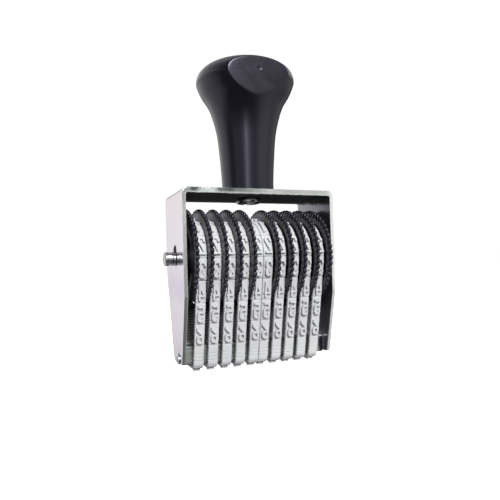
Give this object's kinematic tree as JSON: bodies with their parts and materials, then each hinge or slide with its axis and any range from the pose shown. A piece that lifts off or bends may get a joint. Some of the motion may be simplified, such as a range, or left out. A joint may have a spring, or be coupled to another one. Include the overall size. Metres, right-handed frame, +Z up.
{
  "type": "numbering machine",
  "caption": "Hand numbering stamp: rubber character bands on knurled setting wheels in a plated U frame, pressed by a black moulded handle.",
  "frame": {"origin": "on the printing plane, under the axle, midway between the cheeks", "axes": "+Z up along the handle, X along the axle and across the bands, -Y the front where the set characters are read"},
  "size_m": [0.0496, 0.027, 0.0844],
  "materials": {
    "plated_steel": "bright plated sheet",
    "handle_plastic": "glossy moulded black",
    "screw_steel": "zinc plated",
    "bridge_steel": "satin plated bar",
    "axle_steel": "turned and plated",
    "spacer_steel": "plated washer",
    "wheel_plastic": "satin moulded black",
    "band_rubber": "matt light grey rubber"
  },
  "bodies": {
    "stamp": {"frame": "plated_steel", "handle": "handle_plastic", "handle_screw": "screw_steel", "bridge": "bridge_steel", "axle": "axle_steel", "spacer_left": "spacer_steel", "spacer_right": "spacer_steel", "band_1": "band_rubber", "band_2": "band_rubber", "band_3": "band_rubber", "band_4": "band_rubber", "band_5": "band_rubber", "band_6": "band_rubber", "band_7": "band_rubber", "band_8": "band_rubber", "band_9": "band_rubber", "band_10": "band_rubber"},
    "wheel_1": {"wheel_1": "wheel_plastic"},
    "wheel_2": {"wheel_2": "wheel_plastic"},
    "wheel_3": {"wheel_3": "wheel_plastic"},
    "wheel_4": {"wheel_4": "wheel_plastic"},
    "wheel_5": {"wheel_5": "wheel_plastic"},
    "wheel_6": {"wheel_6": "wheel_plastic"},
    "wheel_7": {"wheel_7": "wheel_plastic"},
    "wheel_8": {"wheel_8": "wheel_plastic"},
    "wheel_9": {"wheel_9": "wheel_plastic"},
    "wheel_10": {"wheel_10": "wheel_plastic"}
  },
  "joints": [
    {"name": "wheel_1_turn", "type": "hinge", "parent": "stamp", "child": "wheel_1", "pos_m": [0, 0, 0.0297], "axis": [1, 0, 0], "continuous": true},
    {"name": "wheel_2_turn", "type": "hinge", "parent": "stamp", "child": "wheel_2", "pos_m": [0, 0, 0.0297], "axis": [1, 0, 0], "continuous": true},
    {"name": "wheel_3_turn", "type": "hinge", "parent": "stamp", "child": "wheel_3", "pos_m": [0, 0, 0.0297], "axis": [1, 0, 0], "continuous": true},
    {"name": "wheel_4_turn", "type": "hinge", "parent": "stamp", "child": "wheel_4", "pos_m": [0, 0, 0.0297], "axis": [1, 0, 0], "continuous": true},
    {"name": "wheel_5_turn", "type": "hinge", "parent": "stamp", "child": "wheel_5", "pos_m": [0, 0, 0.0297], "axis": [1, 0, 0], "continuous": true},
    {"name": "wheel_6_turn", "type": "hinge", "parent": "stamp", "child": "wheel_6", "pos_m": [0, 0, 0.0297], "axis": [1, 0, 0], "continuous": true},
    {"name": "wheel_7_turn", "type": "hinge", "parent": "stamp", "child": "wheel_7", "pos_m": [0, 0, 0.0297], "axis": [1, 0, 0], "continuous": true},
    {"name": "wheel_8_turn", "type": "hinge", "parent": "stamp", "child": "wheel_8", "pos_m": [0, 0, 0.0297], "axis": [1, 0, 0], "continuous": true},
    {"name": "wheel_9_turn", "type": "hinge", "parent": "stamp", "child": "wheel_9", "pos_m": [0, 0, 0.0297], "axis": [1, 0, 0], "continuous": true},
    {"name": "wheel_10_turn", "type": "hinge", "parent": "stamp", "child": "wheel_10", "pos_m": [0, 0, 0.0297], "axis": [1, 0, 0], "continuous": true}
  ]
}
